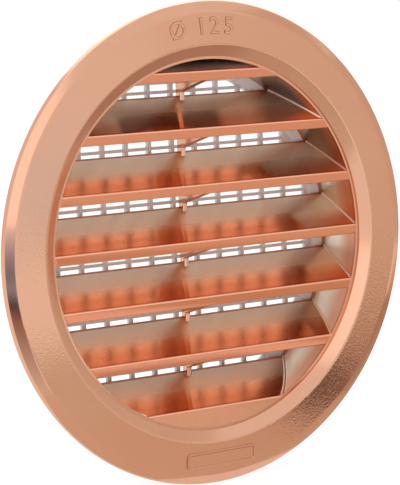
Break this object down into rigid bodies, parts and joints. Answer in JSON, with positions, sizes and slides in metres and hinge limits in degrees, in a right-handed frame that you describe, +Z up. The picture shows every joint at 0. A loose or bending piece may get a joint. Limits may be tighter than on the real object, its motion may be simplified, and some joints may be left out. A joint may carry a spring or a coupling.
{
  "type": "round vent grille",
  "caption": "Round louvre grille for a wall duct: a bevelled copper-plated flange on a collar, sloped blades across the bore and an insect screen pressed in behind them.",
  "frame": {"origin": "on the grille's axis, in the plane where the flange's rim meets the wall", "axes": "+Y into the wall along the collar, -Y out of the front face, +Z up across the blades, +X to the right seen from the front"},
  "size_m": [0.155, 0.026, 0.155],
  "materials": {
    "copper_plating": "copper-plated plastic, finely grained on the flange's face and polished elsewhere",
    "screen_plastic": "pale moulded plastic"
  },
  "bodies": {
    "root": {"grille_body": "copper_plating", "insect_screen": "screen_plastic"}
  },
  "joints": []
}
